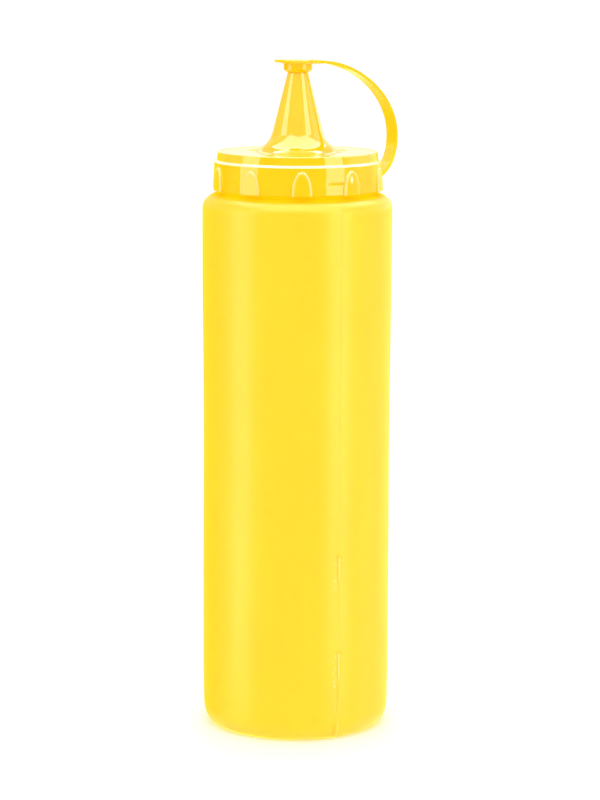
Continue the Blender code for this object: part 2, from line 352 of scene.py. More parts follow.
class Signal:
    """A node's output in a shader. Sums written with it add Math nodes, and node() adds any other node."""

    def __init__(self, tree, socket=None):
        self.tree = tree
        self.socket = socket

    def node(self, kind, settings, inputs, output=0):
        """A new node of this type: first its settings, then the values or links of its inputs. Gives one
        output."""
        made = self.tree.nodes.new(kind)
        for name, value in settings.items():
            setattr(made, name, value)
        for name, value in inputs.items():
            if isinstance(value, Signal):
                self.tree.links.new(value.socket, made.inputs[name])
            else:
                made.inputs[name].default_value = value
        return Signal(self.tree, made.outputs[output] if made.outputs else None)

    def math(self, operation, *values):
        """A Math node on these values."""
        return self.node("ShaderNodeMath", {"operation": operation}, dict(enumerate(values)))

    def __add__(self, other):
        return self.math("ADD", self, other)

    def __sub__(self, other):
        return self.math("SUBTRACT", self, other)

    def __mul__(self, other):
        return self.math("MULTIPLY", self, other)

    def __rsub__(self, other):
        return self.math("SUBTRACT", other, self)

    __radd__ = __add__
    __rmul__ = __mul__

    def ramp(self, low, high):
        """0 below low, 1 above high and smooth between them."""
        limits = {"Value": self, "From Min": low, "From Max": high}
        return self.node("ShaderNodeMapRange", {"interpolation_type": "SMOOTHSTEP"}, limits)

    def ramp_mm(self, low, high):
        """The same for a height, with its limits in millimetres."""
        return self.ramp(low * MM, high * MM)

    def blend(self, first, second):
        """The first colour where this value is 0 and the second where it is 1."""
        return self.node("ShaderNodeMix", {"data_type": "RGBA"}, {0: self, 6: first, 7: second}, 2)

    def upwards(self):
        """The Z part of this position or direction."""
        return self.node("ShaderNodeSeparateXYZ", {}, {0: self}, "Z")

    def noise(self, scale, detail=2.0, roughness=0.5):
        """Soft noise from 0 to 1 on this position, whose cells are 1 / scale millimetres along each
        axis."""
        scaling = {0: self, 1: [value / MM for value in scale]}
        place = self.node("ShaderNodeVectorMath", {"operation": "MULTIPLY"}, scaling)
        values = {"Vector": place, "Scale": 1.0, "Detail": detail, "Roughness": roughness}
        return self.node("ShaderNodeTexNoise", {}, values)

    def raised(self, depth):
        """The normal of a surface raised by this value times a depth in millimetres."""
        return self.node("ShaderNodeBump", {}, {"Height": self, "Distance": depth * MM, "Strength": 1.0})


def new_material(name):
    """A material with only its output node, and a signal that adds nodes to it."""
    material = bpy.data.materials.new(name)
    material.use_nodes = True
    material.node_tree.nodes.clear()
    return material, Signal(material.node_tree)


def finish_material(graph, shader):
    """Links a shader to the output of its material."""
    graph.node("ShaderNodeOutputMaterial", {}, {"Surface": shader})


BODY_YELLOW = (0.95, 0.628, 0.0025, 1.0)
BODY_DEEP = (0.95, 0.610, 0.0015, 1.0)
# Painted shade: the shoulder, which faces up into the light, is painted deeper.
BODY_SHOULDER_PAINTED_SHADE = (0.95, 0.570, 0.003, 1.0)
# Painted highlight and painted shade for the seams' raised and sunken marks.
SEAM_PAINTED_HIGHLIGHT = (0.96, 0.80, 0.25, 1.0)
SEAM_PAINTED_SHADE = (0.92, 0.51, 0.001, 1.0)
# Painted light: the neck and the rim of the foot glow, in place of light let through the thin plastic and in
# place of their shade.
NECK_PAINTED_GLOW = (0.34, 0.20, 0.001, 1.0)
FOOT_PAINTED_GLOW = (0.55, 0.38, 0.001, 1.0)
NO_GLOW = (0.0, 0.0, 0.0, 1.0)
SHEEN_GOLD = (1.0, 0.80, 0.12, 1.0)
SHEEN_ROUGHNESS = 0.35
BODY_SHEEN = 0.22
PLASTIC_IOR = 1.5
CLOUD_RANGE = (0.35, 0.65)
SHOULDER_SHADE_HEIGHTS = (195.0, 199.0)
FOOT_PAINTED_GLOW_HEIGHTS = (0.1, 1.6)
NECK_PAINTED_GLOW_HEIGHTS = (199.9, 200.8)
DULLER_SHOULDER, DULLER_SHOULDER_HEIGHTS = 0.30, (195.4, 198.0)
DULL_NECK, DULL_NECK_HEIGHTS = 0.70, (199.6, 200.7)
DIE_LINE_DEPTH = 0.027
FINE_LINE_DEPTH = 0.009
GRAIN_DEPTH = 0.006
SATIN_ROUGHNESS, GRAIN_ROUGHER, CLOUD_ROUGHER = 0.26, 0.10, 0.05
DULL_ROUGHNESS = 0.7
SCATTER_WEIGHT, SCATTER_REACH = 0.5, 3.0
SCATTER_COLOUR = (1.0, 0.6, 0.05)


def make_body_plastic():
    """Satin polyethylene: clouded slightly in its colour, drawn into fine upright lines by the die,
    with a fine sand-like grain. Along the seams it is painted paler on raised bits and deeper in sunken
    ones, as painted highlight and painted shade, and it is painted a little deeper on the shoulder, as
    painted shade. Towards the neck it loses its gloss. The neck and the rim of the foot glow with painted
    light, which stands in for light let through the thin plastic there."""
    material, graph = new_material("satin yellow polyethylene")
    position = graph.node("ShaderNodeTexCoord", {}, {}, "Object")
    height = position.upwards()
    clouds = position.noise((0.045, 0.045, 0.02), 2.0)
    die_lines = position.noise((0.62, 0.62, 0.004), 2.0, 0.6)
    fine_lines = position.noise((2.6, 2.6, 0.012), 1.0)
    grain = position.noise((1.5, 1.5, 1.1), 2.0, 0.65)
    seam_painted_light = graph.node("ShaderNodeAttribute", {"attribute_name": "seam_painted_light"}, {}, "Fac")
    colour = clouds.ramp(*CLOUD_RANGE).blend(BODY_YELLOW, BODY_DEEP)
    # Painted shade: deeper towards the shoulder.
    colour = height.ramp_mm(*SHOULDER_SHADE_HEIGHTS).blend(colour, BODY_SHOULDER_PAINTED_SHADE)
    # Painted highlight on the seams' raised marks and painted shade in their sunken ones.
    colour = seam_painted_light.ramp(0.0, 1.0).blend(colour, SEAM_PAINTED_HIGHLIGHT)
    colour = (seam_painted_light * -1.0).ramp(0.0, 1.0).blend(colour, SEAM_PAINTED_SHADE)
    relief = die_lines * DIE_LINE_DEPTH + fine_lines * FINE_LINE_DEPTH + grain * GRAIN_DEPTH
    shared = {
        "Base Color": colour,
        "Normal": relief.raised(1.0),
        "IOR": PLASTIC_IOR,
        "Subsurface Weight": SCATTER_WEIGHT,
        "Subsurface Radius": SCATTER_COLOUR,
        "Subsurface Scale": SCATTER_REACH * MM,
        "Sheen Weight": BODY_SHEEN,
        "Sheen Roughness": SHEEN_ROUGHNESS,
        "Sheen Tint": SHEEN_GOLD,
        "Emission Strength": 1.0,
    }
    satin = {
        "Roughness": SATIN_ROUGHNESS + GRAIN_ROUGHER * grain + CLOUD_ROUGHER * clouds,
        # Painted glow at the rim of the foot.
        "Emission Color": height.ramp_mm(*FOOT_PAINTED_GLOW_HEIGHTS).blend(FOOT_PAINTED_GLOW, NO_GLOW),
    }
    dull = {
        "Roughness": DULL_ROUGHNESS,
        "Specular IOR Level": 0.0,
        # Painted glow on the neck, in the shade under the skirt.
        "Emission Color": height.ramp_mm(*NECK_PAINTED_GLOW_HEIGHTS).blend(NO_GLOW, NECK_PAINTED_GLOW),
    }
    satin_shader = graph.node("ShaderNodeBsdfPrincipled", {}, {**shared, **satin})
    dull_shader = graph.node("ShaderNodeBsdfPrincipled", {}, {**shared, **dull})
    dullness = DULLER_SHOULDER * height.ramp_mm(*DULLER_SHOULDER_HEIGHTS)
    dullness = dullness + DULL_NECK * height.ramp_mm(*DULL_NECK_HEIGHTS)
    mixed = graph.node("ShaderNodeMixShader", {}, {0: dullness, 1: satin_shader, 2: dull_shader})
    finish_material(graph, mixed)
    return material


bottle_body = make_bottle_body()
bottle_body.data.materials.append(make_body_plastic())
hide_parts("bottle")
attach(bottle_body, "root")

# The lid is injection moulded in glossy polypropylene, in one piece with its nozzle: a long cone
# that flares into a flat disc, a step, and a low skirt that screws over the neck. Its threads sink
# the skirt a little from behind, and one short sink line shows as a dark dash: a groove, painted
# deeper as painted shade.

SKIRT_BOTTOM = 202.3
SKIRT_TOP = 212.6
SKIRT_BOTTOM_RADIUS = 31.15
SKIRT_TOP_RADIUS = 30.9
SKIRT_SHOULDER = 0.35
SKIRT_EDGE = 0.2
STEP_FILLET = 0.35
STEP_LEAN = radians(62.0)
DISC_TOP = 216.2
DISC_BOTTOM_RADIUS = 29.9
DISC_TOP_RADIUS = 29.6
DISC_EDGE = 0.45
DISC_EDGE_END = 0.08
FLARE_RADIUS = 9.6
CONE_ANGLE = radians(14.04)
NOZZLE_TIP = 247.8
NOZZLE_TIP_RADIUS = 3.17
TIP_EDGE = 0.25
LID_INNER_RADIUS = NECK_RADIUS + 0.3
LID_INNER_TOP = 211.0
LID_INNER_EDGE = 0.2
LID_COLUMNS = 288
SINK_ANGLE = radians(-84.0)
SINK_HALF = radians(6.4)
SINK_FADE_FROM = 0.8 * SINK_HALF
SINK_HEIGHT = 206.4
SINK_WIDTH = 0.46
SINK_DEPTH = 0.30
# The sink line is painted deeper, as painted shade, and made duller.
SINK_MARK = -1.2
THREAD_PITCH = 4.0
THREAD_SINK = 0.006
THREAD_FOOT = (SKIRT_BOTTOM + 0.5, SKIRT_BOTTOM + 2.0)
THREAD_TOP = (SKIRT_TOP - 2.0, SKIRT_TOP - 0.6)


def cone_radius(height):
    """The cone's side: the tip's radius and the way down from the tip times the tangent of its angle."""
    return NOZZLE_TIP_RADIUS + (NOZZLE_TIP - height) * tan(CONE_ANGLE)


def skirt_radius(height):
    """The skirt's side, which leans in a little towards the top."""
    share = (height - SKIRT_BOTTOM) / (SKIRT_TOP - SKIRT_BOTTOM)
    return SKIRT_BOTTOM_RADIUS + (SKIRT_TOP_RADIUS - SKIRT_BOTTOM_RADIUS) * share


def lid_profile():
    """From the middle of the nozzle's tip down the cone, out over the disc, down the step and the
    skirt, and back up inside to the axis."""
    cone_end = DISC_TOP + FLARE_RADIUS * (1.0 - sin(CONE_ANGLE))
    flare_centre = (cone_radius(cone_end) + FLARE_RADIUS * cos(CONE_ANGLE), DISC_TOP + FLARE_RADIUS)
    tip_centre = (cone_radius(NOZZLE_TIP) - TIP_EDGE, NOZZLE_TIP - TIP_EDGE)
    tip = arc(tip_centre, (TIP_EDGE, TIP_EDGE), pi / 2, CONE_ANGLE, 5)
    edge_centre = (DISC_TOP_RADIUS - DISC_EDGE, DISC_TOP - DISC_EDGE)
    edge = arc(edge_centre, (DISC_EDGE, DISC_EDGE), pi / 2, DISC_EDGE_END, 8)
    corner_centre = (SKIRT_TOP_RADIUS - SKIRT_SHOULDER, SKIRT_TOP - SKIRT_SHOULDER)
    corner = arc(corner_centre, (SKIRT_SHOULDER, SKIRT_SHOULDER), STEP_LEAN, 0.0, 8)
    step_end = DISC_BOTTOM_RADIUS + STEP_FILLET * (1.0 - cos(STEP_LEAN))
    step_height = corner[0][1] + (corner[0][0] - step_end) / tan(STEP_LEAN)
    step_centre = (DISC_BOTTOM_RADIUS + STEP_FILLET, step_height + STEP_FILLET * sin(STEP_LEAN))
    step = arc(step_centre, (STEP_FILLET, STEP_FILLET), pi, pi + STEP_LEAN, 8)
    heights = np.linspace(SKIRT_TOP - SKIRT_SHOULDER, SKIRT_BOTTOM + SKIRT_EDGE, 84)
    skirt = np.column_stack((skirt_radius(heights), heights))
    foot_centre = (SKIRT_BOTTOM_RADIUS - SKIRT_EDGE, SKIRT_BOTTOM + SKIRT_EDGE)
    foot = arc(foot_centre, (SKIRT_EDGE, SKIRT_EDGE), 0.0, -pi / 2, 6)
    return profile(
        run((0.0, NOZZLE_TIP), (tip_centre[0], NOZZLE_TIP), 3),
        tip,
        run(tip[-1], (cone_radius(cone_end), cone_end), 16),
        arc(flare_centre, (FLARE_RADIUS, FLARE_RADIUS), pi + CONE_ANGLE, 1.5 * pi, 36),
        run((flare_centre[0], DISC_TOP), (edge_centre[0], DISC_TOP), 8),
        edge,
        run(edge[-1], step[0], 3),
        step,
        run(step[-1], corner[0], 3),
        corner,
        skirt,
        foot,
        run((foot_centre[0], SKIRT_BOTTOM), (LID_INNER_RADIUS + LID_INNER_EDGE, SKIRT_BOTTOM), 2),
        run((LID_INNER_RADIUS, SKIRT_BOTTOM + LID_INNER_EDGE), (LID_INNER_RADIUS, LID_INNER_TOP), 5),
        run((LID_INNER_RADIUS, LID_INNER_TOP), (0.0, LID_INNER_TOP), 6),
    )


def make_lid_shell():
    """The profile turned round the axis. The skirt is moved inwards by the sink line, a bell curve over
    a short arc, and by the thread, a sine of height less turn."""
    points = lid_profile()
    normal = outward(points)
    angles = 2.0 * pi * np.arange(LID_COLUMNS) / LID_COLUMNS
    height = points[:, 1:] + np.zeros((1, LID_COLUMNS))
    radius = points[:, :1] + np.zeros((1, LID_COLUMNS))
    on_skirt = (points[:, 0] > SKIRT_TOP_RADIUS - 0.1) & (points[:, 1] < SKIRT_TOP - SKIRT_SHOULDER)
    from_middle = (angles - SINK_ANGLE + pi) % (2.0 * pi) - pi
    length = 1.0 - smooth_step(SINK_FADE_FROM, SINK_HALF, np.abs(from_middle))[None, :]
    dash = bump(height, SINK_HEIGHT, SINK_WIDTH) * length
    thread = np.sin(2.0 * pi * (height / THREAD_PITCH - angles[None, :] / (2.0 * pi)))
    thread = thread * between(height, THREAD_FOOT, THREAD_TOP)
    relief = np.where(on_skirt[:, None], -SINK_DEPTH * dash - THREAD_SINK * thread, 0.0)
    radius = radius + normal[:, :1] * relief
    height = height + normal[:, 1:] * relief
    piece = turned_piece("lid_shell", radius, height, angles)
    # Painted shade along the sink line.
    mark_rings(piece, "painted_light", np.where(on_skirt[:, None], SINK_MARK * dash, 0.0))
    return piece


LID_YELLOW = (0.95, 0.570, 0.0035, 1.0)
LID_DEEP = (0.95, 0.555, 0.0025, 1.0)
# Painted highlight colour, for the step's ledge, the pads' edges and one nick.
PAINTED_HIGHLIGHT_PALE = (0.98, 0.95, 0.66, 1.0)
# Painted shade colour, for the sink line, the strap's edges and the flange's rim.
PAINTED_SHADE_DEEP = (0.93, 0.52, 0.0, 1.0)
# The step's ledge gets a painted highlight between these heights.
LEDGE_FOOT, LEDGE_TOP = (212.25, 212.5), (213.0, 213.3)
# Painted light: a faint glow on the lid, in place of light let through its wall.
LID_PAINTED_GLOW = (0.03, 0.012, 0.0, 1.0)
LID_SHEEN = 0.22
# Below these heights the strap's painted glow grows stronger and lights its shaded root.
GLOW_CHANGE = (211.0, 222.0)
PEEL_DEPTH, FLOW_DEPTH, SPECK_DEPTH = 0.004, 0.003, 0.0006
MATT_ROUGHNESS, GLOSS_SMOOTHER, SUNK_ROUGHER = 0.17, 0.15, 0.9
FLOW_ROUGHER, SPECK_ROUGHER = 0.05, 0.02
FULL_SPECULAR = 0.5
FULL_TEXTURE = 1.0
FULL_GLOSS = 1.0


def make_lid_plastic(name, texture, gloss, sheen, glow, low_painted_glow=None, ledge=False):
    """Glossy polypropylene: almost even in colour, with faint level flow lines and a slight orange
    peel. It gets a painted highlight along the step's ledge, if it has one, and where its points'
    attribute is above 0; where that is below 0 it is dull and painted deeper, as painted shade. The glow
    is painted light in place of the light that comes through the wall, and the low glow takes its place
    below the disc."""
    material, graph = new_material(name)
    position = graph.node("ShaderNodeTexCoord", {}, {}, "Object")
    clouds = position.noise((0.12, 0.12, 0.12), 2.0)
    flow = position.noise((0.03, 0.03, 1.6), 2.0, 0.6)
    peel = position.noise((0.7, 0.7, 0.7), 2.0)
    specks = position.noise((3.2, 3.2, 3.2), 1.0)
    relief = peel * PEEL_DEPTH + flow * FLOW_DEPTH + specks * SPECK_DEPTH
    # Each point's painted light: above 0 a painted highlight, below 0 painted shade with a duller finish.
    painted_light_level = graph.node("ShaderNodeAttribute", {"attribute_name": "painted_light"}, {}, "Fac")
    sunk = (painted_light_level * -1.0).ramp(0.0, 1.0)
    # Painted highlight along the step's ledge.
    if ledge:
        height = position.upwards()
        painted_light_level = painted_light_level + height.ramp_mm(*LEDGE_FOOT) * (1.0 - height.ramp_mm(*LEDGE_TOP))
    # Painted glow, stronger below the disc.
    if low_painted_glow is not None:
        glow = position.upwards().ramp_mm(*GLOW_CHANGE).blend(low_painted_glow, glow)
    colour = clouds.ramp(*CLOUD_RANGE).blend(LID_YELLOW, LID_DEEP)
    colour = sunk.blend(colour, PAINTED_SHADE_DEEP)
    uneven = FLOW_ROUGHER * flow + SPECK_ROUGHER * specks
    inputs = {
        "Base Color": painted_light_level.blend(colour, PAINTED_HIGHLIGHT_PALE),
        "Roughness": MATT_ROUGHNESS - GLOSS_SMOOTHER * gloss + SUNK_ROUGHER * sunk + texture * uneven,
        "Normal": relief.raised(texture),
        "IOR": PLASTIC_IOR,
        "Specular IOR Level": FULL_SPECULAR * gloss,
        "Sheen Weight": sheen,
        "Sheen Roughness": SHEEN_ROUGHNESS,
        "Sheen Tint": SHEEN_GOLD,
        "Emission Color": glow,
        "Emission Strength": 1.0,
    }
    finish_material(graph, graph.node("ShaderNodeBsdfPrincipled", {}, inputs))
    return material


lid_shell = make_lid_shell()
lid_plastic = make_lid_plastic(
    "glossy yellow polypropylene", FULL_TEXTURE, FULL_GLOSS, LID_SHEEN, LID_PAINTED_GLOW, ledge=True
)
lid_shell.data.materials.append(lid_plastic)
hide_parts("lid")
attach(lid_shell, "root")

# Grip pads: nine low arches moulded on the skirt, open at its lower edge. The strap stands in the
# place of a tenth. Each has a small fillet at its root and a rounded edge.

PAD_PLACES = 10
PAD_HALF_WIDTH = 3.65
PAD_ARCH_HEIGHT = 7.8
PAD_LEG = 1.0
PAD_BOTTOM_RADIUS = 32.0
PAD_TOP_RADIUS = 31.55
PAD_BACK_RADIUS = 30.2
PAD_EDGE = 0.46
PAD_BEVEL = 0.85
PAD_DRAFT = 0.05
PAD_FILLET = 0.12
PAD_SPINE_SHARE = 0.74
# Painted highlight along the pads' rounded edges.
PAD_PAINTED_HIGHLIGHT = 0.30
PAD_PALE_ROW, PAD_PALE_ROWS = 13.0, 4.5
PAD_SHARP = radians(50.0)
PAD_JOIN = 0.002
# One pad has a nick: a small bump with a painted glint on it.
NICK_PLACE = 8
NICK_HEIGHT = 0.16
NICK_ACROSS, NICK_WIDTH = -0.4, 0.42
NICK_UP, NICK_LENGTH = 5.6, 0.95


def arch(steps):
    """The pad's outline as (across, up) points: a leg, a half ellipse and a leg."""
    leg = np.linspace(0.0, PAD_LEG, 5)[:-1]
    side = np.full_like(leg, PAD_HALF_WIDTH)
    turn = np.linspace(pi, 0.0, steps + 1)
    across = np.concatenate((-side, PAD_HALF_WIDTH * np.cos(turn), side))
    up = np.concatenate((leg, PAD_LEG + PAD_ARCH_HEIGHT * np.sin(turn), leg[::-1]))
    return np.column_stack((across, up))


def face_radius(height):
    """The pads' faces, which lean in a little more than the skirt does."""
    share = (height - SKIRT_BOTTOM) / (SKIRT_TOP - SKIRT_BOTTOM)
    return PAD_BOTTOM_RADIUS + (PAD_TOP_RADIUS - PAD_BOTTOM_RADIUS) * share


def back_radius(height):
    """The pads' flat back, hidden inside the skirt."""
    return np.full_like(height, PAD_BACK_RADIUS)


def pad_layers():
    """The rows of a pad as (outline, surface, rise): the outline moved inwards by an inset, and how far
    it stands off one of the surfaces above. They go from the back, up the fillet, over the rounded edge
    and across the face to its middle line."""
    outline = arch(64)
    normal = outward(outline)
    spine = outline * (0.0, PAD_SPINE_SHARE)

    def inset(distance):
        """The outline less its normal times a distance, kept above the skirt's lower edge."""
        at = outline - normal * distance
        at[:, 1] = np.maximum(at[:, 1], 0.0)
        return at

    layers = [(spine, back_radius, 0.0), (inset(-PAD_FILLET), back_radius, 0.0)]
    layers.append((inset(-PAD_FILLET), skirt_radius, -PAD_FILLET))
    for turn in np.linspace(0.0, pi / 2, 5):
        at = inset(PAD_FILLET * (np.sin(turn) - 1.0))
        layers.append((at, skirt_radius, PAD_FILLET * (1.0 - np.cos(turn))))
    for turn in np.linspace(0.0, pi / 2, 11):
        at = inset(PAD_DRAFT + PAD_BEVEL * (1.0 - np.cos(turn)))
        layers.append((at, face_radius, PAD_EDGE * (np.sin(turn) - 1.0)))
    rim = layers[-1][0]
    for share in np.linspace(0.0, 1.0, 25)[1:]:
        layers.append((rim + (spine - rim) * share, face_radius, 0.0))
    return layers


def pad_points(place):
    """A pad as a grid: columns go along the arch, and rows are its layers, wrapped round the axis. Also
    gives each point's painted light: a painted highlight along the rounded edge, and a painted glint on
    one nick, a small bump."""
    points, pale = [], []
    for row, (at, surface, rise) in enumerate(pad_layers()):
        height = SKIRT_BOTTOM + at[:, 1]
        radius = surface(height) + rise
        # Painted highlight along the rounded edge, and a painted glint on the nick.
        painted_light = np.full_like(height, PAD_PAINTED_HIGHLIGHT * bump(row, PAD_PALE_ROW, PAD_PALE_ROWS))
        if place == NICK_PLACE and surface is face_radius:
            nick = bump(at[:, 0], NICK_ACROSS, NICK_WIDTH) * bump(at[:, 1], NICK_UP, NICK_LENGTH)
            radius = radius + NICK_HEIGHT * nick
            painted_light = painted_light + nick
        angle = 2.0 * pi * place / PAD_PLACES + at[:, 0] / SKIRT_BOTTOM_RADIUS
        points.append(np.column_stack((radius * np.cos(angle), radius * np.sin(angle), height)))
        pale.append(painted_light)
    return np.array(points), np.array(pale)


def clean_mesh(piece, join=0.0, face_out=True):
    """Joins points closer than a distance in millimetres, and turns the faces of a closed shape
    outwards."""
    shape = bmesh.new()
    shape.from_mesh(piece.data)
    if join:
        bmesh.ops.remove_doubles(shape, verts=shape.verts, dist=join * MM)
    if face_out:
        bmesh.ops.recalc_face_normals(shape, faces=shape.faces)
    shape.to_mesh(piece.data)
    shape.free()


def make_grip_pads():
    """The nine pads in one mesh. One face closes the lower end of each."""
    every_point, every_face, every_pale, first = [], [], [], 0
    for place in range(1, PAD_PLACES):
        points, pale = pad_points(place)
        rows, columns = pale.shape
        every_face += (grid_faces(rows, columns, False)[:, ::-1] + first).tolist()
        left = first + np.arange(rows) * columns
        right = left + columns - 1
        every_face.append(left.tolist() + right[::-1].tolist()[1:-1])
        every_point.append(points.reshape(-1, 3))
        every_pale.append(pale.ravel())
        first += rows * columns
    piece = new_piece("grip_pads", np.vstack(every_point), every_face, PAD_SHARP)
    mark_points(piece, "painted_light", np.concatenate(every_pale))
    clean_mesh(piece, PAD_JOIN)
    return piece


grip_pads = make_grip_pads()
grip_pads.data.materials.append(lid_plastic)
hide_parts("lid")
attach(grip_pads, "root")

# The strap is a flat ribbon moulded with the lid. It leaves the skirt, swings out and up in one
# open bow, and comes back over the nozzle to the tip cap, past which it ends in a round finger tab.
# Its faces are glossy, and its cut-looking edges are matt and painted deeper, as painted shade. A
# painted glow, stronger near its root, stands in for light let through the thin ribbon.

BAND_THICKNESS = 1.0
BAND_WIDTH = 8.9
BAND_HEIGHT = 249.15
TAB_CENTRE = -4.5
TAB_TIP = TAB_CENTRE - BAND_WIDTH / 2
TAB_LIFT = 0.3
TAB_THINNER = 0.1
TAB_START = 0.06
TAB_END_SHARE = 0.9995
STRAP_LEAD = np.array((3.0, 0.0))
STRAP_CREST = np.array((7.5, 248.98))
STRAP_CREST_LEAD = 0.25
STRAP_CREST_REACH = np.array((13.6, 0.42))
STRAP_SIDE = np.array((37.85, 221.3))
STRAP_SIDE_RISE = np.array((0.0, 16.25))
STRAP_SIDE_DROP = np.array((0.0, 10.3))
STRAP_ROOT = np.array((30.5, 205.9))
STRAP_ROOT_REACH = np.array((2.6, 1.5))
STRAP_CORNER = 0.2
STRAP_DRAFT = 0.12
# The strap's edges are painted deeper, as painted shade, and made matt.
STRAP_EDGE_MARK = -0.85
# Painted light: the strap glows, more near its root, in place of light let through the thin ribbon.
STRAP_PAINTED_GLOW = (0.08, 0.065, 0.0, 1.0)
STRAP_LOW_PAINTED_GLOW = (0.25, 0.22, 0.0, 1.0)
STRAP_TEXTURE, STRAP_GLOSS, STRAP_SHEEN = 0.05, 0.8, 0.04


def bezier(start, start_handle, end_handle, end, steps):
    """A cubic: (1-t)^3 a + 3(1-t)^2 t b + 3(1-t) t^2 c + t^3 d."""
    t = np.linspace(0.0, 1.0, steps + 1)[:, None]
    s = 1.0 - t
    return s**3 * start + 3.0 * s**2 * t * start_handle + 3.0 * s * t**2 * end_handle + t**3 * end


def tab_line(across):
    """The middle line of the tab, which lifts as the square of the way to its tip."""
    return np.column_stack((across, BAND_HEIGHT + TAB_LIFT * (across / TAB_TIP) ** 2))


def strap_route():
    """The ribbon's middle line as (x, z) points, from the tip of the tab to the root in the skirt."""
    tab = tab_line(TAB_CENTRE - BAND_WIDTH / 2 * np.cos(np.linspace(TAB_START, pi / 2, 20)))
    over = tab_line(np.linspace(TAB_CENTRE, 0.0, 8))
    middle = np.array((0.0, BAND_HEIGHT))
    crest_lead = STRAP_CREST - STRAP_CREST_REACH * STRAP_CREST_LEAD
    to_crest = bezier(middle, middle + STRAP_LEAD, crest_lead, STRAP_CREST, 14)
    crest_reach, above = STRAP_CREST + STRAP_CREST_REACH, STRAP_SIDE + STRAP_SIDE_RISE
    bow = bezier(STRAP_CREST, crest_reach, above, STRAP_SIDE, 72)
    below, root_reach = STRAP_SIDE - STRAP_SIDE_DROP, STRAP_ROOT + STRAP_ROOT_REACH
    down = bezier(STRAP_SIDE, below, root_reach, STRAP_ROOT, 40)
    return profile(tab, over, to_crest, bow, down)


def ribbon_section():
    """A rounded rectangle as (across, through) points, and which of them lie on its edges. It is a
    little wider on its outer face, as the mould's draft leaves it."""
    half, thick, corner = BAND_WIDTH / 2, BAND_THICKNESS / 2, STRAP_CORNER
    flat = np.linspace(-1.0, 1.0, 15)[1:-1] * (half - corner)
    outer_face = np.column_stack((flat[::-1], np.full_like(flat, thick)))
    inner_face = np.column_stack((flat, np.full_like(flat, -thick)))
    turns = np.arange(5) * pi / 2
    corners = []
    for turn, (across, through) in enumerate(((1, 1), (-1, 1), (-1, -1), (1, -1))):
        centre = (across * (half - corner), through * (thick - corner))
        corners.append(arc(centre, (corner, corner), turns[turn], turns[turn + 1], 5))
    section = np.vstack((corners[0], outer_face, corners[1], corners[2], inner_face, corners[3]))
    edge = np.abs(section[:, 0]) > half - 0.9 * corner
    section[:, 0] += STRAP_DRAFT * (section[:, 1] - thick) * np.sign(section[:, 0])
    return section, edge


def make_tether_strap():
    """The section carried along the route, which lies in the XZ plane: a point is the route's, plus its
    across times the half width along Y, plus its through along the route's normal. The tab narrows as a
    half circle."""
    route = strap_route()
    normal = outward(route)
    half = BAND_WIDTH / 2
    from_tab = np.clip(TAB_CENTRE - route[:, 0], 0.0, half * TAB_END_SHARE)
    width = np.sqrt(1.0 - (from_tab / half) ** 2)
    thin = 1.0 - TAB_THINNER * np.minimum(1.0, from_tab)
    section, edge = ribbon_section()
    across = section[None, :, 0] * width[:, None]
    through = section[None, :, 1] * thin[:, None]
    x = route[:, :1] + normal[:, :1] * through
    z = route[:, 1:] + normal[:, 1:] * through
    points = np.stack((x, across, z), axis=-1)
    rows, columns = points.shape[:2]
    faces = grid_faces(rows, columns, True).tolist()
    faces.append(list(range(columns)))
    faces.append(list(range((rows - 1) * columns, rows * columns))[::-1])
    piece = new_piece("tether_strap", points.reshape(-1, 3), faces)
    # Painted shade along the edges.
    mark_points(piece, "painted_light", np.tile(np.where(edge, STRAP_EDGE_MARK, 0.0), rows))
    clean_mesh(piece)
    return piece


tether_strap = make_tether_strap()
strap_plastic = make_lid_plastic(
    "thin yellow polypropylene", STRAP_TEXTURE, STRAP_GLOSS, STRAP_SHEEN, STRAP_PAINTED_GLOW, STRAP_LOW_PAINTED_GLOW
)
tether_strap.data.materials.append(strap_plastic)
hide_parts("lid")
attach(tether_strap, "root")

# The tip cap is a short cup that presses over the nozzle, with a round, slightly dished flange.
# It is moulded on the strap and has a small lead-in chamfer at its mouth.

FLANGE_RADIUS = 6.3
FLANGE_THICKNESS = 1.3
FLANGE_DISH = 0.22
FLANGE_DISH_SHARE = 0.35
FLANGE_EDGE = 0.3
# The flange's rim is painted deeper, as painted shade, and made matt.
FLANGE_RIM_MARK = -0.55
CAP_RADIUS = 5.25
CAP_FILLET = 0.25
CAP_BOTTOM = 246.1
CAP_LIP_BOTTOM = 245.3
CAP_LIP_RADIUS = 4.45
CAP_CHAMFER_IN, CAP_CHAMFER_UP = 0.12, 0.15
CAP_GAP = 0.3
CAP_COLUMNS = 128
CAP_TEXTURE, CAP_SHEEN = 0.15, 0.08


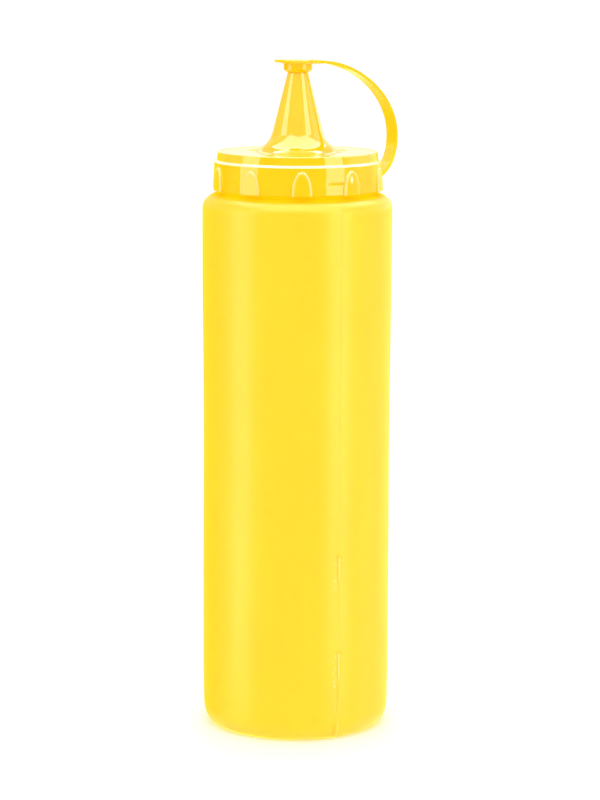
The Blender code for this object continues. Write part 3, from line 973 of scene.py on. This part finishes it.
def cap_profile():
    """Over the dished flange, down the cup, round its chamfered mouth and up inside to the axis."""
    top = BAND_HEIGHT + FLANGE_THICKNESS / 2
    bottom = BAND_HEIGHT - FLANGE_THICKNESS / 2
    rim = FLANGE_RADIUS - FLANGE_EDGE
    across = np.linspace(0.0, rim, 12)
    sunk = FLANGE_DISH * (1.0 - smooth_step(FLANGE_DISH_SHARE * rim, rim, across))
    rounding, fillet = (FLANGE_EDGE, FLANGE_EDGE), (CAP_FILLET, CAP_FILLET)
    inner_bottom = cone_radius(CAP_LIP_BOTTOM) + CAP_GAP
    inner_top = cone_radius(NOZZLE_TIP) + CAP_GAP
    lip_side = (CAP_LIP_RADIUS, CAP_LIP_BOTTOM + CAP_CHAMFER_UP)
    lip_foot = (CAP_LIP_RADIUS - CAP_CHAMFER_IN, CAP_LIP_BOTTOM)
    return profile(
        np.column_stack((across, top - sunk)),
        arc((rim, top - FLANGE_EDGE), rounding, pi / 2, 0.0, 5),
        arc((rim, bottom + FLANGE_EDGE), rounding, 0.0, -pi / 2, 5),
        run((rim, bottom), (CAP_RADIUS + CAP_FILLET, bottom), 2),
        arc((CAP_RADIUS + CAP_FILLET, bottom - CAP_FILLET), fillet, pi / 2, pi, 4),
        run((CAP_RADIUS, bottom - CAP_FILLET), (CAP_RADIUS, CAP_BOTTOM + CAP_CHAMFER_UP), 6),
        run((CAP_RADIUS - CAP_CHAMFER_IN, CAP_BOTTOM), lip_side, 4),
        run(lip_foot, (inner_bottom, CAP_LIP_BOTTOM), 2),
        run((inner_bottom, CAP_LIP_BOTTOM), (inner_top, NOZZLE_TIP + CAP_GAP), 4),
        run((inner_top, NOZZLE_TIP + CAP_GAP), (0.0, NOZZLE_TIP + CAP_GAP), 3),
    )


def make_tip_cap():
    """The profile turned round the axis. The flange's rim is marked, so that it is as matt as the strap's
    edges and painted deeper like them, as painted shade."""
    points = cap_profile()
    angles = 2.0 * pi * np.arange(CAP_COLUMNS) / CAP_COLUMNS
    ring = np.zeros((1, CAP_COLUMNS))
    piece = turned_piece("tip_cap", points[:, :1] + ring, points[:, 1:] + ring, angles)
    on_rim = points[:, :1] + ring > FLANGE_RADIUS - 0.2
    # Painted shade on the flange's rim.
    mark_rings(piece, "painted_light", np.where(on_rim, FLANGE_RIM_MARK, 0.0))
    return piece


tip_cap = make_tip_cap()
cap_plastic = make_lid_plastic("smooth yellow polypropylene", CAP_TEXTURE, FULL_GLOSS, CAP_SHEEN, NO_GLOW)
tip_cap.data.materials.append(cap_plastic)
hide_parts("lid")
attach(tip_cap, "root")

# The stage: a white floor, an even white surround that is brighter above, and soft panels that only
# show as reflections in the plastic, as softboxes beside and above the bottle do. Lengths here are
# in metres, and upward is the sine of a direction's angle above the level.

CAMERA_PLACE = Vector((-0.3489, -0.9089, 0.2896))
CAMERA_TURN = radians(-21.0)
CAMERA_PITCH = 0.1692
CAMERA_ROLL = 0.0044
CAMERA_LENS = 118.26
CAMERA_SHIFT = 0.00434
CAMERA_DROP = -0.00145
CAMERA_NEAR = 0.01
WHITE = (1.0, 1.0, 1.0, 1.0)
FLOOR_RINGS = (0.0, 0.1, 0.4, 1.0, 2.2)
FLOOR_COLUMNS = 96
FLOOR_SHADES = ((0.90, 0.90, 0.90, 1.0), (0.92, 0.92, 0.92, 1.0))
PANEL_DISTANCE = 1.2
PANEL_FOOT, PANEL_TOP = -0.35, 0.87
PANEL_GLOW_HEIGHTS = (0.1, 0.8)
OVERHEAD = 0.8
LID_HEIGHT = 0.22
ABOVE = [(1.62, -1.2), (1.15, 0.1), (1.55, 1.25), (-1.5, 1.04), (-0.5, 0.3), (-0.5, -0.25), (-0.93, -0.75)]
BEHIND = [(-0.5, -0.25), (-0.5, 0.3), (-1.16, 0.30), (-1.75, 0.2), (-1.75, -0.2), (-1.16, -0.30)]
LOW_GOLD = (1.0, 0.80, 0.02, 1.0)
SEEN_WHITE = 1.05
TABLE_EDGE = (0.060, 0.074)
LIT_LEVEL, LIT_RISE = 1.1, 0.3
MIRRORED_LEVEL = 0.05


def from_front(degrees):
    """The level direction that lies this many degrees to the right of the camera's side of the bottle."""
    angle = radians(-90.0 + degrees) + CAMERA_TURN
    return Vector((cos(angle), sin(angle), 0.0))


def make_floor():
    """A round white floor: rings of points out to its edge. It shows in no reflection."""
    angles = 2.0 * pi * np.arange(FLOOR_COLUMNS) / FLOOR_COLUMNS
    rings = np.array(FLOOR_RINGS)[:, None]
    x, y = rings * np.cos(angles), rings * np.sin(angles)
    points = np.stack((x, y, 0.0 * x), axis=-1).reshape(-1, 3)
    piece = new_piece("floor", points / MM, grid_faces(len(FLOOR_RINGS), FLOOR_COLUMNS, True).tolist())
    clean_mesh(piece, 1.0, False)
    material, graph = new_material("white floor")
    position = graph.node("ShaderNodeTexCoord", {}, {}, "Object")
    shade = position.noise((0.02, 0.02, 0.02), 2.0).blend(*FLOOR_SHADES)
    inputs = {"Base Color": shade, "Roughness": 0.6}
    finish_material(graph, graph.node("ShaderNodeBsdfPrincipled", {}, inputs))
    piece.data.materials.append(material)
    piece.visible_glossy = False


def make_panel(name, corners, glow, top_glow=None):
    """A glowing panel that shows only in reflections. Its glow goes over to the top glow, if it has one,
    between two heights."""
    points = np.array([list(corner) for corner in corners]) / MM
    piece = new_piece(name, points, [list(range(len(corners)))])
    material, graph = new_material(name)
    if top_glow is not None:
        height = graph.node("ShaderNodeTexCoord", {}, {}, "Object").upwards()
        glow = glow + (top_glow - glow) * height.ramp(*PANEL_GLOW_HEIGHTS)
    finish_material(graph, graph.node("ShaderNodeEmission", {}, {"Color": WHITE, "Strength": glow}))
    material.cycles.emission_sampling = "NONE"
    piece.data.materials.append(material)
    piece.visible_camera = False
    piece.visible_diffuse = False
    piece.visible_shadow = False


def upright_panel(name, first, last, glow, top_glow):
    """A panel standing between two directions, given in degrees from the front."""
    left, right = from_front(first) * PANEL_DISTANCE, from_front(last) * PANEL_DISTANCE
    foot, top = Vector((0, 0, PANEL_FOOT)), Vector((0, 0, PANEL_TOP))
    corners = [left + foot, right + foot, right + top, left + top]
    make_panel(name, corners, glow, top_glow)


def overhead_panel(name, outline, glow):
    """A level panel above the lid. Its outline is in (forward, across) points, in heights above the lid."""
    front, side = from_front(0.0), from_front(90.0)
    corners = []
    for forward, across in outline:
        level = (front * forward + side * across) * OVERHEAD
        corners.append(level + Vector((0, 0, LID_HEIGHT + OVERHEAD)))
    make_panel(name, corners, glow)


make_floor()
upright_panel("panel_left", -84.0, -55.0, 3.3, 6.2)
upright_panel("panel_right", 39.0, 66.5, 4.1, 6.8)
overhead_panel("panel_above", ABOVE, 7.5)
overhead_panel("panel_above_behind", BEHIND, 8.5)


def make_surround():
    """The world: white to the camera; for the light on matt surfaces, brighter above than below; and for
    reflections, dim, with brighter regions. Each region is a product of ramps, by the angle from a level
    direction and by the angle above the level, and has its own strength."""
    world = bpy.data.worlds.new("white surround")
    bpy.context.scene.world = world
    world.use_nodes = True
    world.node_tree.nodes.clear()
    graph = Signal(world.node_tree)
    direction = graph.node("ShaderNodeTexCoord", {}, {}, "Generated")
    upward = direction.upwards()
    downward = upward * -1.0

    def along(degrees):
        """The cosine of the angle between the direction and a level one, given in degrees from the
        front."""
        values = {0: direction, 1: from_front(degrees)}
        return graph.node("ShaderNodeVectorMath", {"operation": "DOT_PRODUCT"}, values, "Value")

    def up_to(low, high):
        """1 for directions below a height, and smoothly down to 0 above it."""
        return 1.0 - upward.ramp(low, high)

    back = along(180.0)
    over_table = upward.ramp(*TABLE_EDGE)
    wide_back = back.ramp(0.45, 0.75)
    front = along(0.0).ramp(-0.5, -0.1)
    left_zone = along(-142.0).ramp(0.93, 0.97)
    right_side, left_side = along(118.0), along(-118.0)
    beside = right_side.ramp(0.6, 0.85) + 0.6 * left_side.ramp(0.6, 0.85)
    regions = (
        # A sheet behind the table
        (0.8, wide_back * over_table * up_to(0.16, 0.24) * (1.0 - left_zone)),
        # The middle of that sheet
        (0.5, back.ramp(0.90, 0.93) * over_table * up_to(0.38, 0.46)),
        # Above its middle
        (0.8, back.ramp(0.88, 0.93) * upward.ramp(0.22, 0.28) * up_to(0.40, 0.48)),
        # Above all of it
        (0.42, back.ramp(0.2, 0.6) * upward.ramp(0.24, 0.36) * (1.0 - left_zone)),
        # Behind on the left
        (1.1, left_zone * upward.ramp(0.26, 0.30) * up_to(0.45, 0.6)),
        # The right side
        (0.6, right_side.ramp(0.55, 0.9)),
        # Beside the cone
        (0.9, beside * upward.ramp(-0.03, 0.08)),
        # The table behind
        (0.8, back.ramp(0.86, 0.98) * downward.ramp(0.2, 0.3)),
        # The front
        (0.2, front),
        # The table in front
        (0.35, front * downward.ramp(0.045, 0.08)),
        # High in front
        (1.0, front * upward.ramp(0.15, 0.42)),
        # Below
        (0.8, downward.ramp(0.30, 0.55)),
    )
    mirrored = MIRRORED_LEVEL
    for region_strength, region in regions:
        mirrored = mirrored + region_strength * region
    lit = LIT_LEVEL + LIT_RISE * upward
    glossy = graph.node("ShaderNodeLightPath", {}, {}, "Is Glossy Ray")
    camera_ray = graph.node("ShaderNodeLightPath", {}, {}, "Is Camera Ray")
    strength = glossy * mirrored + (1.0 - glossy) * lit
    strength = camera_ray * SEEN_WHITE + (1.0 - camera_ray) * strength
    white = graph.node("ShaderNodeBackground", {}, {"Color": WHITE, "Strength": strength})
    low_behind = glossy * wide_back * (1.0 - over_table)
    golden = graph.node("ShaderNodeBackground", {}, {"Color": LOW_GOLD, "Strength": low_behind})
    both = graph.node("ShaderNodeAddShader", {}, {0: white, 1: golden})
    graph.node("ShaderNodeOutputWorld", {}, {"Surface": both})


make_surround()

camera_data = bpy.data.cameras.new("camera")
camera_data.lens = CAMERA_LENS
camera_data.shift_x = CAMERA_SHIFT
camera_data.shift_y = CAMERA_DROP
camera_data.clip_start = CAMERA_NEAR
camera = bpy.data.objects.new("camera", camera_data)
bpy.context.scene.collection.objects.link(camera)
turn = Matrix.Rotation(CAMERA_TURN, 4, "Z") @ Matrix.Rotation(pi / 2 - CAMERA_PITCH, 4, "X")
camera.matrix_world = Matrix.Translation(CAMERA_PLACE) @ turn @ Matrix.Rotation(CAMERA_ROLL, 4, "Z")
bpy.context.scene.camera = camera
bpy.context.scene.view_settings.view_transform = "Standard"
